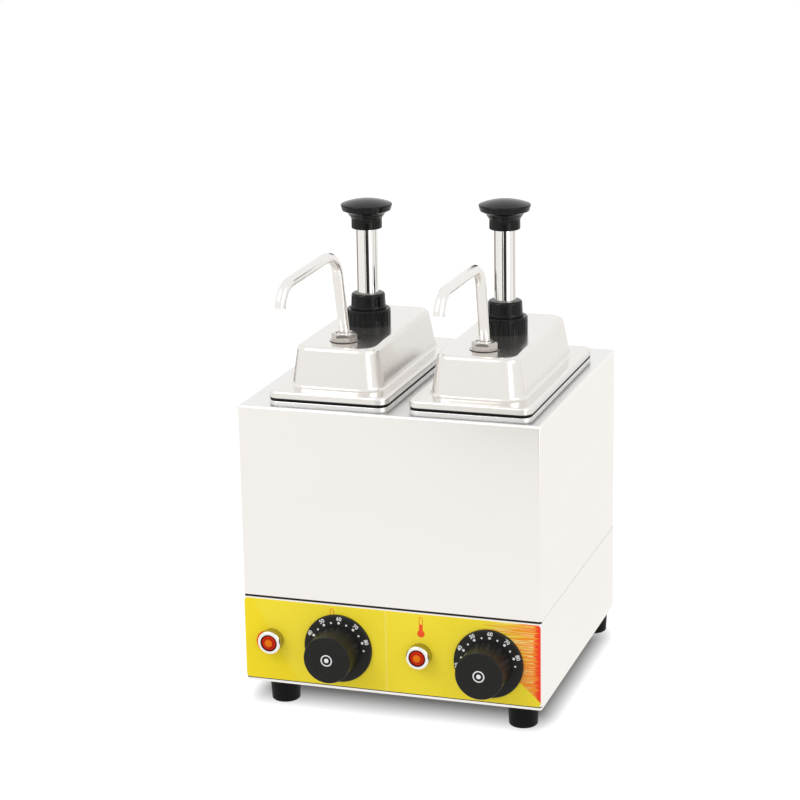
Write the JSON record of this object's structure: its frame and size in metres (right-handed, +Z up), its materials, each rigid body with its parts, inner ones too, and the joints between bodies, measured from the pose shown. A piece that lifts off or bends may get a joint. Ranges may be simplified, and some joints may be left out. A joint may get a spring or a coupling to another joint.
{
  "type": "hot topping warmer",
  "caption": "Countertop warmer with side-by-side heated wells, lift-out pans and domed lids, each with a push pump and gooseneck spout, over a dial and pilot lamp.",
  "frame": {"origin": "on the standing surface, in the middle of the whole object's outline seen from above, spouts and cord gland included", "axes": "+X across the front to the right as the user faces it, +Y from the front to the back, +Z up; the spouts reach out towards -Y"},
  "size_m": [0.28, 0.3624, 0.4545],
  "materials": {
    "housing_steel": "polished sheet",
    "lid_steel": "polished pressing",
    "pan_steel": "satin pressing",
    "bath_steel": "mill finish",
    "pump_steel": "satin",
    "element_steel": "heat-tinted sheath",
    "spring_steel": "drawn wire",
    "fastener_steel": "plated",
    "polished_chrome": "mirror polish",
    "nut_brass": "turned",
    "probe_copper": "drawn tube",
    "label_yellow": "printed polyester film",
    "plastic_black": "moulded",
    "knob_black": "moulded, semi-gloss",
    "plastic_white": "moulded",
    "plastic_grey": "moulded",
    "lens_red": "tinted, clear",
    "silicone_black": "moulded",
    "wire_insulation": "silicone sleeve"
  },
  "bodies": {
    "housing": {"upper_casing": "housing_steel", "base_casing": "housing_steel", "bottom_plate": "housing_steel", "casing_screws": "fastener_steel", "thermostat_screws": "fastener_steel", "foot_bolts": "fastener_steel", "lock_nuts": "nut_brass", "control_label": "label_yellow", "cord_gland": "plastic_black", "terminal_block": "plastic_white", "wiring": "wire_insulation", "feet": "plastic_black", "water_bath_left": "bath_steel", "water_bath_right": "bath_steel", "heating_element_left": "element_steel", "heating_element_right": "element_steel", "temperature_probe_left": "probe_copper", "temperature_probe_right": "probe_copper", "thermostat_left": "plastic_grey", "thermostat_right": "plastic_grey", "dial_scale_left": "plastic_black", "dial_scale_right": "plastic_black", "lamp_bezel_left": "polished_chrome", "lamp_bezel_right": "polished_chrome", "lamp_lens_left": "lens_red", "lamp_lens_right": "lens_red", "lamp_body_left": "plastic_white", "lamp_body_right": "plastic_white"},
    "pan_left": {"food_pan_left": "pan_steel"},
    "lid_left": {"lid_left": "lid_steel", "lid_gasket_left": "silicone_black", "pump_barrel_left": "pump_steel", "clamp_nut_left": "knob_black", "guide_collar_left": "knob_black", "inlet_valve_left": "plastic_white", "discharge_pipe_left": "pump_steel", "spout_nut_left": "polished_chrome", "return_spring_left": "spring_steel"},
    "plunger_left": {"push_knob_left": "knob_black", "plunger_tube_left": "polished_chrome", "piston_left": "plastic_white"},
    "spout_left": {"spout_tube_left": "polished_chrome"},
    "dial_left": {"dial_knob_left": "knob_black", "thermostat_shaft_left": "fastener_steel"},
    "pan_right": {"food_pan_right": "pan_steel"},
    "lid_right": {"lid_right": "lid_steel", "lid_gasket_right": "silicone_black", "pump_barrel_right": "pump_steel", "clamp_nut_right": "knob_black", "guide_collar_right": "knob_black", "inlet_valve_right": "plastic_white", "discharge_pipe_right": "pump_steel", "spout_nut_right": "polished_chrome", "return_spring_right": "spring_steel"},
    "plunger_right": {"push_knob_right": "knob_black", "plunger_tube_right": "polished_chrome", "piston_right": "plastic_white"},
    "spout_right": {"spout_tube_right": "polished_chrome"},
    "dial_right": {"dial_knob_right": "knob_black", "thermostat_shaft_right": "fastener_steel"}
  },
  "joints": [
    {"name": "pan_lift_left", "type": "slide", "parent": "housing", "child": "pan_left", "axis": [0, 0, 1], "range_m": [0, 0.155]},
    {"name": "lid_lift_left", "type": "slide", "parent": "pan_left", "child": "lid_left", "axis": [0, 0, 1], "range_m": [0, 0.14]},
    {"name": "plunger_press_left", "type": "slide", "parent": "lid_left", "child": "plunger_left", "axis": [0, 0, -1], "range_m": [0, 0.05], "stiffness_N_per_m": 600, "springref_m": -0.01, "deforming": ["return_spring_left"]},
    {"name": "spout_swivel_left", "type": "hinge", "parent": "lid_left", "child": "spout_left", "pos_m": [-0.06025, -0.0508, 0.3724], "axis": [0, 0, 1], "range_deg": [-60, 25]},
    {"name": "dial_turn_left", "type": "hinge", "parent": "housing", "child": "dial_left", "pos_m": [-0.0494, -0.1368, 0.062], "axis": [0, 1, 0], "range_deg": [0, 280]},
    {"name": "pan_lift_right", "type": "slide", "parent": "housing", "child": "pan_right", "axis": [0, 0, 1], "range_m": [0, 0.155]},
    {"name": "lid_lift_right", "type": "slide", "parent": "pan_right", "child": "lid_right", "axis": [0, 0, 1], "range_m": [0, 0.14]},
    {"name": "plunger_press_right", "type": "slide", "parent": "lid_right", "child": "plunger_right", "axis": [0, 0, -1], "range_m": [0, 0.05], "stiffness_N_per_m": 600, "springref_m": -0.01, "deforming": ["return_spring_right"]},
    {"name": "spout_swivel_right", "type": "hinge", "parent": "lid_right", "child": "spout_right", "pos_m": [0.07125, -0.0508, 0.3724], "axis": [0, 0, 1], "range_deg": [-25, 60]},
    {"name": "dial_turn_right", "type": "hinge", "parent": "housing", "child": "dial_right", "pos_m": [0.0921, -0.1368, 0.062], "axis": [0, 1, 0], "range_deg": [0, 280]}
  ]
}
